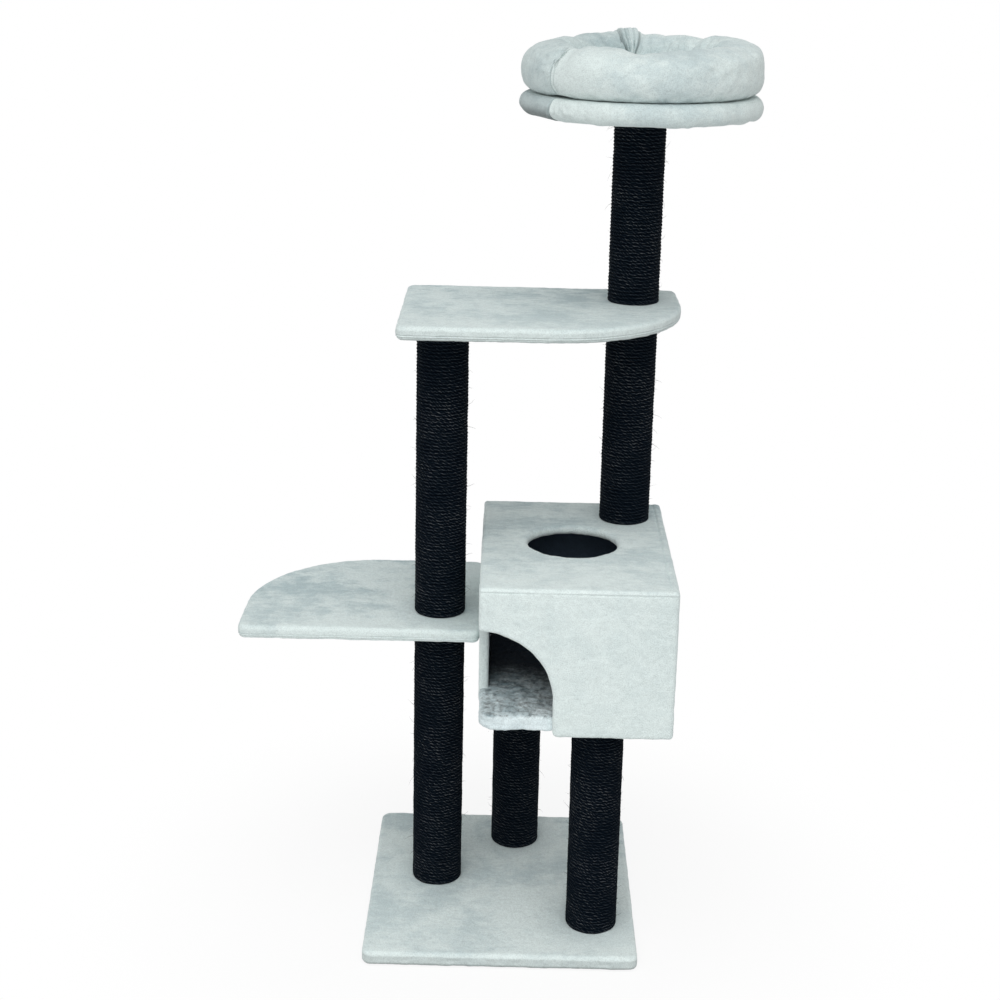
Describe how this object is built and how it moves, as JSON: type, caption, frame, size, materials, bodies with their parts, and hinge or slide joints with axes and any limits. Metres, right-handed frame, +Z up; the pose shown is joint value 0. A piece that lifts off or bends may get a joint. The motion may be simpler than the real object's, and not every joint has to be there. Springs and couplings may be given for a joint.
{
  "type": "cat tree",
  "caption": "Free-standing cat tree: plush-covered base, platforms and house on rope-wound posts, with a corner entrance, a roof hole and a round ring bed on top.",
  "frame": {"origin": "centre of the base's underside, on the floor", "axes": "+X to the right seen from the front, +Y to the back, +Z up"},
  "size_m": [0.887, 0.58, 1.5573],
  "materials": {
    "plush": "short pile plush",
    "bed_plush": "short pile plush, sewn",
    "sisal_rope": "wound sisal rope",
    "tube_cardboard": "spiral wound tube",
    "board_wood": "raw particle board",
    "foam": "open cell foam",
    "backing_felt": "non-woven felt",
    "fastener_steel": "zinc plated"
  },
  "bodies": {
    "frame": {"back_sisal": "sisal_rope", "back_tube": "tube_cardboard", "base_backing": "backing_felt", "base_board": "board_wood", "base_bolts": "fastener_steel", "base_cover": "plush", "base_washers": "fastener_steel", "bed_board": "board_wood", "bed_cover": "bed_plush", "bed_foam": "foam", "front_sisal": "sisal_rope", "front_tube": "tube_cardboard", "house_back_panel": "board_wood", "house_cover": "plush", "house_floor_board": "board_wood", "house_floor_cover": "plush", "house_front_panel": "board_wood", "house_left_panel": "board_wood", "house_right_panel": "board_wood", "house_roof_panel": "board_wood", "house_screws": "fastener_steel", "insert_nuts": "fastener_steel", "left_lower_sisal": "sisal_rope", "left_lower_tube": "tube_cardboard", "left_upper_sisal": "sisal_rope", "left_upper_tube": "tube_cardboard", "low_platform_board": "board_wood", "low_platform_cover": "plush", "panel_bolts": "fastener_steel", "panel_washers": "fastener_steel", "post_plugs": "board_wood", "right_middle_sisal": "sisal_rope", "right_middle_tube": "tube_cardboard", "right_upper_sisal": "sisal_rope", "right_upper_tube": "tube_cardboard", "short_studs": "fastener_steel", "tee_nuts": "fastener_steel", "through_studs": "fastener_steel", "upper_platform_board": "board_wood", "upper_platform_cover": "plush", "wall_bolts": "fastener_steel", "wall_nuts": "fastener_steel", "wall_washers": "fastener_steel"},
    "bed_cushion": {"bed_ring": "bed_plush", "bed_pad": "bed_plush"}
  },
  "joints": [
    {"name": "bed_cushion_lift", "type": "slide", "parent": "frame", "child": "bed_cushion", "axis": [0, 0, 1], "range_m": [0, 0.15]}
  ]
}
